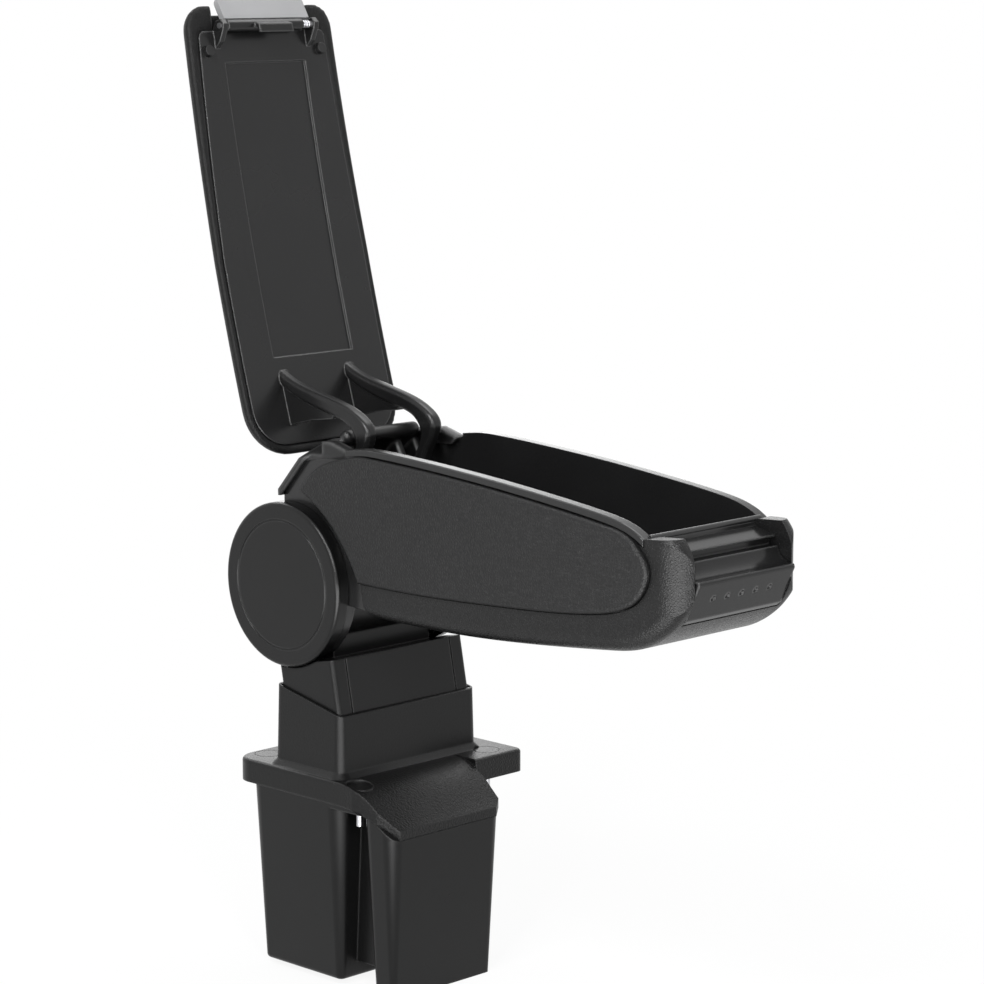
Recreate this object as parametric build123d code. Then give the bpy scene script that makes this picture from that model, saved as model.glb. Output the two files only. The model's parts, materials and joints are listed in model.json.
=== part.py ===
from build123d import *
import os
from math import cos, radians, sin

# Car centre armrest: a console insert with a flanged collar, a leaning post with a pivot
# barrel, a storage arm that folds up about the barrel, and a padded lid on gooseneck hinges.
# Millimetres. +X points to the front of the car, +Y to the left, +Z up.
# The origin is on the insert's foot plane, straight below the arm pivot.
# All heights below are taken from the pivot axis and lifted by PIVOT_HEIGHT at the end.

# Driving dimensions
PIVOT_HEIGHT = 213.0
LID_OPENING = 109.0
POST_LEAN = 11.0
FIT = 0.4            # gap round a piece that slips into another
RUN = 0.06           # radial running clearance on a pin or an axle

# Arm: widths of the bin, its rim, the shell and the panels outside it
BIN_INNER = 40.0
BIN_WALL = 3.0
BIN_OUTER = BIN_INNER + BIN_WALL
SHELL_WALL = 3.0
SHELL_HALF = BIN_OUTER + SHELL_WALL
PANEL_THICK = 6.0
PANEL_HALF = BIN_OUTER + PANEL_THICK
RIM_OVERHANG = 3.5
RIM_HALF = BIN_OUTER + RIM_OVERHANG
RECESS_HALF = BIN_INNER - 4.0

# Arm: length, rim arc and floor
FRONT_WALL = 256.0
FLOOR_WALL = 2.5
RIM_APEX_X = 1.0
RIM_APEX_Z = 80.2
RIM_ARC = 1700.0
RIM_THICK = 3.5
RIM_REAR = 46.0
PANEL_SEAM = 0.5
COVER_LOW = (-6.0, 47.5)
COVER_HIGH = (12.0, 67.5)
BIN_SHOULDER = [(24.0, 70.0), (41.0, 71.0)]
SHELL_SCREWS = [(90, 0.0), (200, 5.0)]   # place along the arm, rise of the floor there
SCREW_Y = 28.0

# Pivot: ears of the arm, barrel of the post, axle, bushes, caps
EAR_THICK = 7.0
EAR_OUTER = BIN_OUTER + 0.5
EAR_INNER = EAR_OUTER - EAR_THICK
BARREL_RADIUS = 36.0
EAR_RADIUS = BARREL_RADIUS + 7.0
CAP_RADIUS = EAR_RADIUS + 1.5
CAP_THICK = 8.0
CAP_OUTER = EAR_OUTER + CAP_THICK
CAP_FACE = 2.5
RING_THICK = 1.0
BARREL_HALF = EAR_INNER - RING_THICK
AXLE_RADIUS = 6.0
BUSH_WALL = 2.5
BUSH_RADIUS = AXLE_RADIUS + BUSH_WALL
BUSH_END = EAR_OUTER - 2.5
WASHER_RADIUS = AXLE_RADIUS + 7.0
WASHER_END = BUSH_END + 1.5
CAP_SPIGOT = WASHER_RADIUS + 2.3
NUT_HEIGHT = 5.0

# Lid: hinge pin, liner, pad and latch
HINGE_X = 19.0
HINGE_Z = 53.5
HINGE_Y = 24.0
HINGE_ARM = 8.0
HINGE_WEB = 5.0
HINGE_PIN = 2.5
BAR_X = 23.2
BAR_Z = 79.3
LUG_THICK = 4.0
LUG_GAP = 0.6
LID_GAP = 0.6
LINER_REAR = 48.0
LINER_FRONT = FRONT_WALL + 17.0
LINER_THICK = 3.0
PAD_REAR = 42.4
PAD_FRONT = FRONT_WALL + 31.0
PAD_HALF = 54.5
PAD_LIP = 3.5
PAD_THICK = 12.4
PAD_ROUND = 8.0
LID_WAIST = 150.0    # the lid narrows from here to its front
LID_TAPER = 3.0
FRONT_LIP = 6.5
EMBOSS_DEPTH = 1.4
LINER_HALF = PAD_HALF - PAD_LIP
LATCH_X = FRONT_WALL + 18.1
LATCH_DROP = 7.8     # latch pin below the rim's front end
LATCH_HALF = 30.5
LATCH_PIN = 1.5
LATCH_BARREL = 3.2
BRACKET_THICK = 3.4
WIRE = 0.4

# Base: flange, collar, post and insert
FLANGE_TOP = -99.0
FLANGE_THICK = 12.5
FLANGE_UNDER = FLANGE_TOP - FLANGE_THICK
FOOT = -PIVOT_HEIGHT
TUB_WALL = 3.5
POST_X = 18.5
POST_Z = -57.0
POST_DEPTH = 43.0
POST_HALF = 48.5
PANEL_INSET = 38.2
PANEL_DEPTH = 3.0
COLLAR_REAR = -7.4
COLLAR_FRONT = 45.8
COLLAR_HALF = POST_HALF + 3.0
TENON_REAR = 1.0
TENON_FRONT = 33.0
TENON_HALF = POST_HALF - 7.5
TENON_FOOT = FLANGE_TOP + 3.0
POST_SCREWS = [8, 26]
POST_SCREW = 2.5
RAMP_REAR = 46.0
RAMP_FRONT = 87.0
RAMP_LEFT = 30.0
FLANGE_RIGHT = -56.5
PLUG_RADIUS = 7.2
PLUG_DEPTH = 2.5
HEAD_DEPTH = 2.5
SCREW_RADIUS = 2.0
# Place of each console screw, and its seat's height against the flange's top
SCREW_PLACES = [(57, -48, -2.5), (54, 50, 0), (-25, -40, 0), (-25, 40, 0)]


def side_face(*edges):
    """Face in the X-Z plane from edges drawn in local x, y."""
    return make_face(Curve() + list(edges))


def slab(face, y_low, y_high):
    """Solid from a face drawn in X and Z, between two widths."""
    plane = Plane(origin=(0, y_high, 0), x_dir=(1, 0, 0), z_dir=(0, -1, 0))
    return extrude(plane * face, amount=y_high - y_low)


def poly(*points):
    """Straight-sided face in X and Z."""
    return make_face(Polyline(*points, close=True))


def rod(x, z, radius, y_low, y_high):
    """Cylinder along Y."""
    return Pos(x, (y_low + y_high) / 2, z) * Rot(90, 0, 0) * Cylinder(radius, y_high - y_low)


def mirrored(solid):
    """Mirror image across the middle plane."""
    return mirror(solid, about=Plane.XZ)


def both_sides(solid):
    """The solid and its mirror image."""
    return [solid, mirrored(solid)]


def block(x_low, x_high, y_low, y_high, z_low, z_high):
    """Plain box from its limits."""
    size = (x_high - x_low, y_high - y_low, z_high - z_low)
    return Pos((x_low + x_high) / 2, (y_low + y_high) / 2, (z_low + z_high) / 2) * Box(*size)


def tapered(x_low, x_high, y_low, y_high, z_top, depth, draft, corner):
    """Moulded box that narrows downwards."""
    plan = RectangleRounded(x_high - x_low, y_high - y_low, corner)
    plane = Plane(((x_low + x_high) / 2, (y_low + y_high) / 2, z_top), x_dir=(1, 0, 0), z_dir=(0, 0, -1))
    return extrude(plane * plan, amount=depth, taper=draft)


def rim_z(x, lift=0.0):
    """Height of the box's arched rim, or of a line above it."""
    return RIM_APEX_Z + lift - (x - RIM_APEX_X) ** 2 / (2 * RIM_ARC)


def rim_arc(x_low, x_high, lift):
    """Arc parallel to the rim, from one end to the other."""
    return ThreePointArc(*[(x, rim_z(x, lift)) for x in (x_low, (x_low + x_high) / 2, x_high)])


def rim_strip(x_low, x_high, low, high):
    """Face between two lines parallel to the rim arc."""
    bottom = rim_arc(x_low, x_high, low)
    top = rim_arc(x_high, x_low, high)
    return side_face(bottom, Line(bottom @ 1, top @ 0), top, Line(top @ 1, bottom @ 0))


def post_frame(solid):
    """Turns a solid drawn upright round the post's middle into the leaning post."""
    return Pos(POST_X, 0, POST_Z) * Rot(0, -POST_LEAN, 0) * solid


def open_lid(solid):
    """Turns a solid of the closed lid about the hinge pins into the open rest position."""
    return Pos(HINGE_X, 0, HINGE_Z) * Rot(0, -LID_OPENING, 0) * Pos(-HINGE_X, 0, -HINGE_Z) * solid


FRONT_TOP = rim_z(FRONT_WALL)
LATCH_Z = FRONT_TOP - LATCH_DROP


def front(x, drop):
    """Point at the arm's front end: distance ahead of the front wall, drop below the rim's end."""
    return (FRONT_WALL + x, FRONT_TOP - drop)


parts = {}

# Insert: two hollow tapered boxes under one rim, with a slot between them on the right side
BOX_REAR = -22.0
BOX_FRONT = 50.0
BOX_LEFT = 42.0
BLOCK_REAR = 63.0
BLOCK_FRONT = RAMP_FRONT + 1.0
BLOCK_RIGHT = FLANGE_RIGHT + 2.5
BLOCK_LEFT = RAMP_LEFT - 1.0
BRIDGE_RIGHT = -40.0
BRIDGE_LEFT = RAMP_LEFT - 8.0
BRIDGE_FOOT = FOOT + 12.0
DRAFT = 3.0
BOX_DEPTH = FLANGE_UNDER - FOOT - 3.0
BLOCK_DEPTH = FLANGE_UNDER - FOOT
RAMP_BEND = 66.0
ramp_top = Spline((RAMP_REAR, FLANGE_TOP), (RAMP_BEND, FLANGE_TOP - 4.5), (RAMP_FRONT, FLANGE_TOP - 21.5),
                  tangents=[(1, 0), (1, -0.75)])
ramp_under = Spline((RAMP_FRONT, FLANGE_TOP - 26.5), (RAMP_BEND, FLANGE_UNDER - 2.5),
                    (RAMP_REAR, FLANGE_UNDER), tangents=[(-1, 0.85), (-1, 0)])
rear_box = tapered(BOX_REAR, BOX_FRONT, FLANGE_RIGHT, BOX_LEFT, FLANGE_UNDER, BOX_DEPTH, DRAFT, 9)
rear_box = fillet(rear_box.edges().group_by(Axis.Z)[0], 2.5)
front_box = tapered(BLOCK_REAR, BLOCK_FRONT, BLOCK_RIGHT, BLOCK_LEFT, FLANGE_UNDER, BLOCK_DEPTH, DRAFT, 8)
bridge = block(BOX_FRONT - 10, BLOCK_REAR + 5, BRIDGE_RIGHT, BRIDGE_LEFT, BRIDGE_FOOT, FLANGE_UNDER)
top_rim = tapered(BOX_REAR, BLOCK_FRONT - 4, FLANGE_RIGHT, BLOCK_LEFT, FLANGE_UNDER, 2.5, DRAFT, 9)
tub = rear_box + front_box + bridge + top_rim
tub -= tapered(BOX_REAR + TUB_WALL, BOX_FRONT - TUB_WALL, FLANGE_RIGHT + TUB_WALL, BOX_LEFT - TUB_WALL,
               FLANGE_UNDER, BOX_DEPTH - TUB_WALL, DRAFT, 6)
tub -= tapered(BLOCK_REAR + TUB_WALL, BLOCK_FRONT - TUB_WALL, BLOCK_RIGHT + TUB_WALL, BLOCK_LEFT - TUB_WALL,
               FLANGE_UNDER, BLOCK_DEPTH - TUB_WALL, DRAFT, 6)
tub -= block(BOX_FRONT - 10, BLOCK_REAR + 7, BRIDGE_RIGHT + TUB_WALL, BRIDGE_LEFT - TUB_WALL,
             BRIDGE_FOOT + TUB_WALL, FLANGE_UNDER)
over_front = RAMP_FRONT + 8
above_ramp = side_face(ramp_under, Polyline(
    ramp_under @ 1, (RAMP_REAR, FLANGE_TOP + 4), (over_front, FLANGE_TOP + 4),
    (over_front, FLANGE_UNDER - 24), ramp_under @ 0))
tub -= slab(above_ramp, -90, 90)
tub -= Pos(SCREW_PLACES[0][0], SCREW_PLACES[0][1], FLANGE_UNDER) * Cylinder(SCREW_RADIUS + FIT, 40)
parts["insert_tub"] = tub

# Flange with its collar, drooping front lip and one ear on the left
plan = Pos(15.25, 5.5) * Rectangle(101.5, 124)
plan = fillet(plan.vertices().sort_by(Axis.X)[:2], 13)
plan = fillet(plan.vertices().sort_by(lambda v: v.X + v.Y)[-1:], 5)
plate = extrude(Plane.XY.offset(FLANGE_UNDER) * plan, amount=FLANGE_THICK)
plate = fillet(plate.edges().group_by(Axis.Z)[-1], 2)
plate -= block(RAMP_REAR, 95, -90, RAMP_LEFT, FLANGE_UNDER - 20, FLANGE_TOP + 9)
ramp_face = side_face(ramp_top, Line(ramp_top @ 1, ramp_under @ 0), ramp_under,
                      Line(ramp_under @ 1, ramp_top @ 0))
ramp = slab(ramp_face, FLANGE_RIGHT, RAMP_LEFT)
ramp_plan = make_face(Polyline(
    (40, FLANGE_RIGHT), (60, FLANGE_RIGHT), (76, FLANGE_RIGHT + 3), (88, FLANGE_RIGHT + 10),
    (88, RAMP_LEFT - 7), (83, RAMP_LEFT), (40, RAMP_LEFT), close=True))
ramp &= extrude(Plane.XY.offset(FLANGE_UNDER - 30) * ramp_plan, amount=60)
collar_middle = (COLLAR_REAR + COLLAR_FRONT) / 2
collar_plan = RectangleRounded(COLLAR_FRONT - COLLAR_REAR, 2 * COLLAR_HALF, 5)
skirt_plan = RectangleRounded(COLLAR_FRONT - COLLAR_REAR + 7, 2 * COLLAR_HALF + 7, 8.5)
collar = extrude(Plane.XY.offset(FLANGE_TOP - 2) * Pos(collar_middle, 0) * collar_plan, amount=54, taper=1.5)
skirt = extrude(Plane.XY.offset(FLANGE_TOP - 0.5) * Pos(collar_middle, 0) * skirt_plan, amount=3.5, taper=45)
LEDGE_REAR = (-40.0, -52.9)
LEDGE_FRONT = (80.0, -78.1)
COLLAR_RISE = 5.0    # collar's top edge above the ledge that carries the post
collar_edge = [(x, z + COLLAR_RISE) for x, z in (LEDGE_REAR, LEDGE_FRONT)]
collar -= slab(poly(*collar_edge, (80, -20), (-40, -20)), -90, 90)
above_ledge = slab(poly(LEDGE_REAR, LEDGE_FRONT, (80, 40), (-40, 40)), -90, 90)
mouth_face = POST_DEPTH / 2 + FIT
mouth_half = POST_HALF + FIT
mouth = post_frame(block(-mouth_face, mouth_face, -mouth_half, mouth_half, -40, 40))
flange = plate + ramp + collar + skirt - (mouth & above_ledge)
flange -= block(TENON_REAR - FIT, TENON_FRONT + FIT, -TENON_HALF - FIT, TENON_HALF + FIT, TENON_FOOT, -40)
for x in POST_SCREWS:
    flange -= Pos(x, 0, FLANGE_UNDER) * Cylinder(POST_SCREW + 0.1, 40)
for x, y, drop in SCREW_PLACES:
    seat = FLANGE_TOP + drop - PLUG_DEPTH - HEAD_DEPTH
    flange -= Pos(x, y, seat + HEAD_DEPTH + 5) * Cylinder(PLUG_RADIUS, 10)
    flange -= Pos(x, y, seat + 5) * Cylinder(2 * SCREW_RADIUS + FIT, 10)
    flange -= Pos(x, y, seat) * Cylinder(SCREW_RADIUS + FIT, 20)
parts["base_flange"] = flange

# Screws that hold the flange to the console, and the flush plugs over their heads
screws, plugs = [], []
for x, y, drop in SCREW_PLACES:
    seat = FLANGE_TOP + drop - PLUG_DEPTH - HEAD_DEPTH
    head = Pos(x, y, seat + 1.1) * Cylinder(2 * SCREW_RADIUS, 2.2)
    screw = head + Pos(x, y, seat - 8) * Cylinder(SCREW_RADIUS, 16)
    screws.append(screw - Pos(x, y, seat + 1) * extrude(RegularPolygon(1.6, 6), amount=2))
    plugs.append(Pos(x, y, seat + HEAD_DEPTH + PLUG_DEPTH / 2) * Cylinder(PLUG_RADIUS, PLUG_DEPTH))
parts["console_screws"] = screws
parts["screw_plugs"] = plugs

# Post: leaning block on a tenon, cored from below, with the barrel that carries the arm
post_face = POST_DEPTH / 2
column = block(-post_face, post_face, -POST_HALF, POST_HALF, -40, 16.8)
column = fillet(column.edges().filter_by(Axis.Z), 2.5)
column -= block(post_face - PANEL_DEPTH, 40, -PANEL_INSET - 0.9, PANEL_INSET + 0.9, -50, 30)
post = post_frame(column) & above_ledge
post += block(TENON_REAR, TENON_FRONT, -TENON_HALF, TENON_HALF, TENON_FOOT, -58)
post += block(-12, 24, -BARREL_HALF, BARREL_HALF, -46, -12)
saddle = rod(0, 0, EAR_RADIUS + 0.8, EAR_INNER - 0.5, 70) + rod(0, 0, CAP_RADIUS + 0.8, EAR_OUTER - 0.4, 70)
core = block(TENON_REAR + 4, TENON_FRONT - 4, 7, TENON_HALF - 4, TENON_FOOT - 5, -52)
for cut in both_sides(saddle) + both_sides(core):
    post -= cut
post += rod(0, 0, BARREL_RADIUS, -BARREL_HALF, BARREL_HALF)
post -= rod(0, 0, AXLE_RADIUS, -70, 70)
for x in POST_SCREWS:
    post -= Pos(x, 0, FLANGE_UNDER + 15) * Cylinder(POST_SCREW, 30)
parts["post_housing"] = post

panel = block(post_face - PANEL_DEPTH, post_face, -PANEL_INSET, PANEL_INSET, -40, 16.8)
parts["post_front_panel"] = post_frame(panel) & above_ledge

post_screws = []
for x in POST_SCREWS:
    head = Pos(x, 0, FLANGE_UNDER - 1.5) * Cylinder(POST_SCREW + 2, 3)
    head -= Pos(x, 0, FLANGE_UNDER - 4) * extrude(RegularPolygon(1.8, 6), amount=2)
    post_screws.append(head + Pos(x, 0, FLANGE_UNDER + 15) * Cylinder(POST_SCREW, 30))
parts["post_screws"] = post_screws

# Axle with its nut, washers and friction rings, fixed in the post's barrel
axle_end = WASHER_END + NUT_HEIGHT - 0.5
axle = rod(0, 0, AXLE_RADIUS, -axle_end, axle_end) + rod(0, 0, AXLE_RADIUS + 3, -axle_end, -WASHER_END)
parts["pivot_axle"] = axle - rod(0, 0, AXLE_RADIUS / 2, -axle_end - 5, -WASHER_END - 1.5)
nut_radius = AXLE_RADIUS + 4
nut_face = poly(*[(nut_radius * cos(radians(60 * i)), nut_radius * sin(radians(60 * i))) for i in range(6)])
axle_space = rod(0, 0, AXLE_RADIUS, 0, 80)
parts["axle_nut"] = slab(nut_face, WASHER_END, WASHER_END + NUT_HEIGHT) - axle_space
parts["axle_washers"] = both_sides(rod(0, 0, WASHER_RADIUS, BUSH_END, WASHER_END) - axle_space)
ring = rod(0, 0, BARREL_RADIUS - 12, BARREL_HALF, EAR_INNER) - rod(0, 0, BUSH_RADIUS + 1.5, 0, 80)
parts["friction_rings"] = both_sides(ring)
bush = rod(0, 0, BUSH_RADIUS, EAR_INNER, BUSH_END) - rod(0, 0, AXLE_RADIUS + RUN, 0, 80)
parts["pivot_bushes"] = both_sides(bush)

# Bin: hollow box with a concave rear wall round the barrel, an arched rim and two pivot ears
FLOOR = [(58, -7.4), (131.8, -7.2), (186.7, -3.7), (FRONT_WALL - 29, 0.1), (FRONT_WALL - 5, 5.5)]
RIM_DROP = [(RIM_REAR, 2.4), (52, 1.5), (60, 0.4), (70, 0), (110, 0), (150, 0), (190, 0),
            (FRONT_WALL - 30, 0), (FRONT_WALL - 16, 0.7), (FRONT_WALL - 7, 2.6), (FRONT_WALL - 1, 5.2)]


def floor_curve(lift):
    """Long curve of the bin's floor, or one above or below it."""
    return Spline(*[(x, z + lift) for x, z in FLOOR], tangents=[(1, -0.03), (1, 0.4)])


def rim_curve(lift):
    """Rim line: the arch, with its rear end dipped and its front end turned down."""
    return Spline(*[(x, rim_z(x, lift - drop)) for x, drop in RIM_DROP])


floor_line = floor_curve(0)
bin_top = rim_curve(-RIM_THICK / 2)
bin_face = side_face(
    Polyline(COVER_LOW, COVER_HIGH, *BIN_SHOULDER, bin_top @ 0), bin_top,
    Polyline(bin_top @ 1, front(0, 6), (FRONT_WALL, 12), FLOOR[-1]), floor_line,
    Polyline(FLOOR[0], (25, -5), (-6, 28), COVER_LOW))
hollow_floor = floor_curve(FLOOR_WALL)
hollow_arc = CenterArc((0, 0), BARREL_RADIUS + 4, -5, 97)
inner_front = FRONT_WALL - FLOOR_WALL
hollow = side_face(
    hollow_arc, Polyline(hollow_arc @ 1, (-3, 46.5), (-3, 100), (inner_front, 100), (inner_front, 14),
                         hollow_floor @ 1), hollow_floor, Line(hollow_floor @ 0, hollow_arc @ 0))
rim_low = rim_curve(-RIM_THICK)
rim_high = rim_curve(0)
rim_face = side_face(rim_low, Line(rim_low @ 1, rim_high @ 1), rim_high, Line(rim_high @ 0, rim_low @ 0))
rim = slab(rim_face, -RIM_HALF, RIM_HALF)
rim = fillet(rim.edges().filter_by(lambda e: e.length > 150).sort_by(lambda e: e.center().Z)[-2:], 1.2)
ear = rod(0, 0, EAR_RADIUS, EAR_INNER, EAR_OUTER)
bin_body = slab(bin_face, -BIN_OUTER, BIN_OUTER) + rim + ear + mirrored(ear)
bin_body -= slab(hollow, -BIN_INNER, BIN_INNER)
bead_radius = FLOOR_WALL * 0.7
bead = front(-bead_radius, 5.2)
bin_body += rod(bead[0], bead[1], bead_radius, -BIN_INNER - 1, BIN_INNER + 1)
bin_body -= rod(0, 0, BUSH_RADIUS, -80, 80)
for cut in both_sides(rod(0, 0, CAP_SPIGOT, BUSH_END, 80)):
    bin_body -= cut
bin_body -= rod(0, 0, BARREL_RADIUS + 1.5, -EAR_INNER, EAR_INNER)
for x, rise in SHELL_SCREWS:
    for y in (-SCREW_Y, SCREW_Y):
        bin_body -= Pos(x, y, rise - 8.9) * Cylinder(1.5, 6)
parts["bin_body"] = bin_body

# Caps over the pivot ends, each with a ring line and a spigot that sits in the ear
cap = rod(0, 0, CAP_RADIUS, EAR_OUTER, CAP_OUTER)
cap = fillet(cap.edges().group_by(Axis.Y)[-1], 2.0)
ring_line = CAP_RADIUS - 9
ring_groove = rod(0, 0, ring_line, CAP_OUTER - 0.5, CAP_OUTER + 1)
cap -= ring_groove - rod(0, 0, ring_line - 1, CAP_OUTER - 1, CAP_OUTER + 2)
cap += rod(0, 0, CAP_SPIGOT, BUSH_END + 0.2, EAR_OUTER + 1)
cap -= rod(0, 0, WASHER_RADIUS + 0.6, BUSH_END - 9, CAP_OUTER - CAP_FACE)
parts["pivot_cap_left"] = cap
parts["pivot_cap_right"] = mirrored(cap)


def seam(gap):
    """Seam between lower shell and side panel, from rear to the top of its rounded front end."""
    run = Spline((56.3, 7.2 + gap), (104.3, 7.3 + gap), (161.8, 9.7 + gap), (FRONT_WALL - 39.5, 14 + gap),
                 (FRONT_WALL - 18, 18 + gap), tangents=[(1, -0.01), (1, 0.3)])
    turn = Spline(run @ 1, front(-0.5 - gap, 32.5), front(3.8 - gap, 21), front(-4.5 - gap, 8),
                  tangents=[(1, 0.3), (-1, 1)])
    return [run, turn]


# Lower shell: underside, sides up to the seam, and the two front cheeks
NOSE = 24.5          # front of the cheeks ahead of the front wall
shell_under = Spline((66, -10.9), (131.8, -10.6), (186.7, -7.1), (FRONT_WALL - 29, -3.3),
                     (FRONT_WALL - 3, 2.2), front(17, 44), tangents=[(1, -0.02), (1, 1.3)])
shell_seam = seam(0)
shell_face = side_face(
    *shell_seam,
    Polyline(shell_seam[1] @ 1, front(-0.6, 9.2), front(-0.6, 5), front(1, 4.6), front(16.5, 3.6)),
    ThreePointArc(front(16.5, 3.6), front(NOSE, 24), front(17, 44)), shell_under,
    Polyline((66, -10.9), (61, -8.6), (58.6, -5), (56.3, 7.2)))
shell = slab(shell_face, -SHELL_HALF, SHELL_HALF)
shell = fillet(shell.edges().filter_by(lambda e: e.center().Z < 2 and e.length > 150), 8)
shell &= extrude(Plane.XY.offset(-60) * Pos((FRONT_WALL + NOSE) / 2 - 30, 0)
                 * RectangleRounded(FRONT_WALL + NOSE + 60, 2 * SHELL_HALF, 16), amount=160)
shell_floor = floor_curve(-0.5)
shell_inside = side_face(shell_floor, Polyline(shell_floor @ 1, (FRONT_WALL, 12), (FRONT_WALL, 90), (40, 90),
                                               (40, -7.9), shell_floor @ 0))
shell -= slab(shell_inside, -BIN_OUTER, BIN_OUTER)
recess_floor = FRONT_TOP - 46.5
shell -= block(FRONT_WALL, FRONT_WALL + 60, -RECESS_HALF, RECESS_HALF, recess_floor, 90)
screws = []
for x, rise in SHELL_SCREWS:
    for y in (-SCREW_Y, SCREW_Y):
        seat = rise - 9.2
        shell -= Pos(x, y, seat) * Cylinder(1.7, 6)
        shell -= Pos(x, y, seat - 5) * Cylinder(3.4, 10)
        screw = Pos(x, y, seat - 0.7) * Cylinder(3.0, 1.4) + Pos(x, y, seat + 1.65) * Cylinder(1.5, 3.3)
        screws.append(screw - Pos(x, y, seat - 2.2) * extrude(RegularPolygon(1.2, 6), amount=1.6))
parts["lower_shell"] = shell
parts["shell_screws"] = screws

# Side panels: raised skins with a concave rear end and a rounded front end
panel_gap = RIM_THICK + 0.8
panel_bottom, panel_turn = seam(PANEL_SEAM)
panel_top = rim_arc(FRONT_WALL - 21, 60, -panel_gap)
panel_rear = Spline(panel_top @ 1, (44, 72.3), (33, 69.2), (23.6, 64.6), (16, 58.3), (11.6, 52.2),
                    tangents=[(-1, -0.02), (-0.5, -1)])
panel_corner = Spline(panel_turn @ 1, panel_top @ 0, tangents=[(-1, 1), panel_top % 0])
panel_face = side_face(panel_bottom, panel_turn, panel_corner, panel_top, panel_rear,
                       ThreePointArc((11.6, 52.2), (40.3, 31.5), panel_bottom @ 0))
side_panel = slab(panel_face, BIN_OUTER, PANEL_HALF)
side_panel = fillet(side_panel.faces().sort_by(Axis.Y)[-1].edges(), 2.0)
parts["side_panel_left"] = side_panel
parts["side_panel_right"] = mirrored(side_panel)

# Front trim with the latch slot, a concave step and a lip with a row of dimples
trim_face = side_face(
    Polyline((FRONT_WALL, recess_floor), front(0, 7.9), front(13, 11.2), front(13, 11.9), front(9, 11.9),
             front(9, 16.1), front(14.4, 16.3)),
    ThreePointArc(front(14.4, 16.3), front(16.8, 20.7), front(25.2, 23.9)),
    Polyline(front(25.2, 23.9), front(25.7, 25.7), front(17.4, 43.9), (FRONT_WALL + 14.5, recess_floor),
             (FRONT_WALL, recess_floor)))
trim = slab(trim_face, -RECESS_HALF + FIT, RECESS_HALF - FIT)
lip_edges = trim.edges().filter_by(Axis.Y).filter_by(lambda e: e.center().X > FRONT_WALL + 17)
trim = fillet(lip_edges, 0.6)
dimple = front(21.9, 34.1)
for i in range(-2, 3):
    trim -= Pos(dimple[0], 10.5 * i, dimple[1]) * Sphere(1.6)
parts["front_catch"] = trim

# Hinge cover: sloping plate and bar over the bin's rear edge, with lugs for the hinge pins
cover_face = poly((-7.6, 47.2), (-7.8, 50.4), (10.6, 70.7), (17.5, 77.6), (21, 79), (24, 77.5),
                  COVER_HIGH, COVER_LOW, (-6.2, 47.2))
cover = slab(cover_face, -SHELL_HALF, SHELL_HALF)
arm_low = HINGE_Y - HINGE_ARM / 2
arm_high = HINGE_Y + HINGE_ARM / 2
bar_radius = 3.75
cover += rod(BAR_X, BAR_Z, bar_radius, -HINGE_Y, HINGE_Y)
lug_face = poly((-1.5, 54), (11.5, 68.2), (19, 73), (26, 60), (25, 51.5), (19, 47.5), (12.5, 48.5))
end_web = poly(COVER_HIGH, (10.8, 70.5), (17.5, 77.5), (24, 79), (30, 79.3), (45.2, 75.2), (45.2, 74.8),
               BIN_SHOULDER[1], BIN_SHOULDER[0])
shoulder = make_face(Polyline((28, 82.5), (60, 58.5), (60, 110), (28, 110), close=True))
shoulder_cut = extrude(Plane.YZ.offset(-20) * shoulder, amount=44)
lugs = slab(lug_face, arm_low - LUG_GAP - LUG_THICK, arm_low - LUG_GAP)
lugs += slab(lug_face, arm_high + LUG_GAP, arm_high + LUG_GAP + LUG_THICK)
web = slab(end_web, RECESS_HALF, BIN_OUTER)
for side in (lambda solid: solid, mirrored):
    cover += side(web)
    cover -= side(shoulder_cut)
    cover += side(lugs)
    cover += side(Pos(BAR_X, HINGE_Y, BAR_Z) * Sphere(bar_radius))
cover -= rod(HINGE_X, HINGE_Z, HINGE_PIN, -60, 60)
parts["hinge_cover"] = cover
pin_end = arm_high + LUG_GAP + LUG_THICK
parts["hinge_pins"] = both_sides(rod(HINGE_X, HINGE_Z, HINGE_PIN, arm_low - LUG_GAP - LUG_THICK, pin_end))


# Lid frame, drawn closed: liner with a sunk panel, latch brackets, seats for the bumpers
def lid_plan(rear, front_end, half, front_half, rear_corner, front_corner):
    """Column over the plan of the lid: it narrows a little towards the front and has rounded corners."""
    plan = make_face(Polyline((rear, -half), (LID_WAIST, -half), (front_end, -front_half),
                              (front_end, front_half), (LID_WAIST, half), (rear, half), close=True))
    plan = fillet(plan.vertices().group_by(Axis.X)[0], rear_corner)
    plan = fillet(plan.vertices().group_by(Axis.X)[-1], front_corner)
    return extrude(plan, amount=150)


pad_front_half = PAD_HALF - LID_TAPER
liner_face = rim_strip(LINER_REAR - 1, LINER_FRONT + 1, LID_GAP, LID_GAP + LINER_THICK)
liner = slab(liner_face, -PAD_HALF, PAD_HALF)
liner &= lid_plan(LINER_REAR, LINER_FRONT, LINER_HALF, pad_front_half - FRONT_LIP, 20, 4)
emboss = slab(rim_strip(95.5, FRONT_WALL, LID_GAP - 2, LID_GAP + EMBOSS_DEPTH), -29, 29)
bracket_face = poly((FRONT_WALL + 7, rim_z(FRONT_WALL + 7, 1.5)), (LINER_FRONT - 0.2, rim_z(LINER_FRONT, 2)),
                    front(21.5, 5.6), front(21.3, 9.6), front(18.1, 11.2), front(15, 9.6), front(10, 5.1))
bracket = slab(bracket_face, LATCH_HALF + 0.7, LATCH_HALF + 0.7 + BRACKET_THICK)
frame = liner - emboss + bracket + mirrored(bracket)
frame -= rod(LATCH_X, LATCH_Z, LATCH_PIN, -60, 60)
bumper_x = FRONT_WALL + 6
bumper_top = rim_z(bumper_x, LID_GAP + 1.2)
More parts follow.
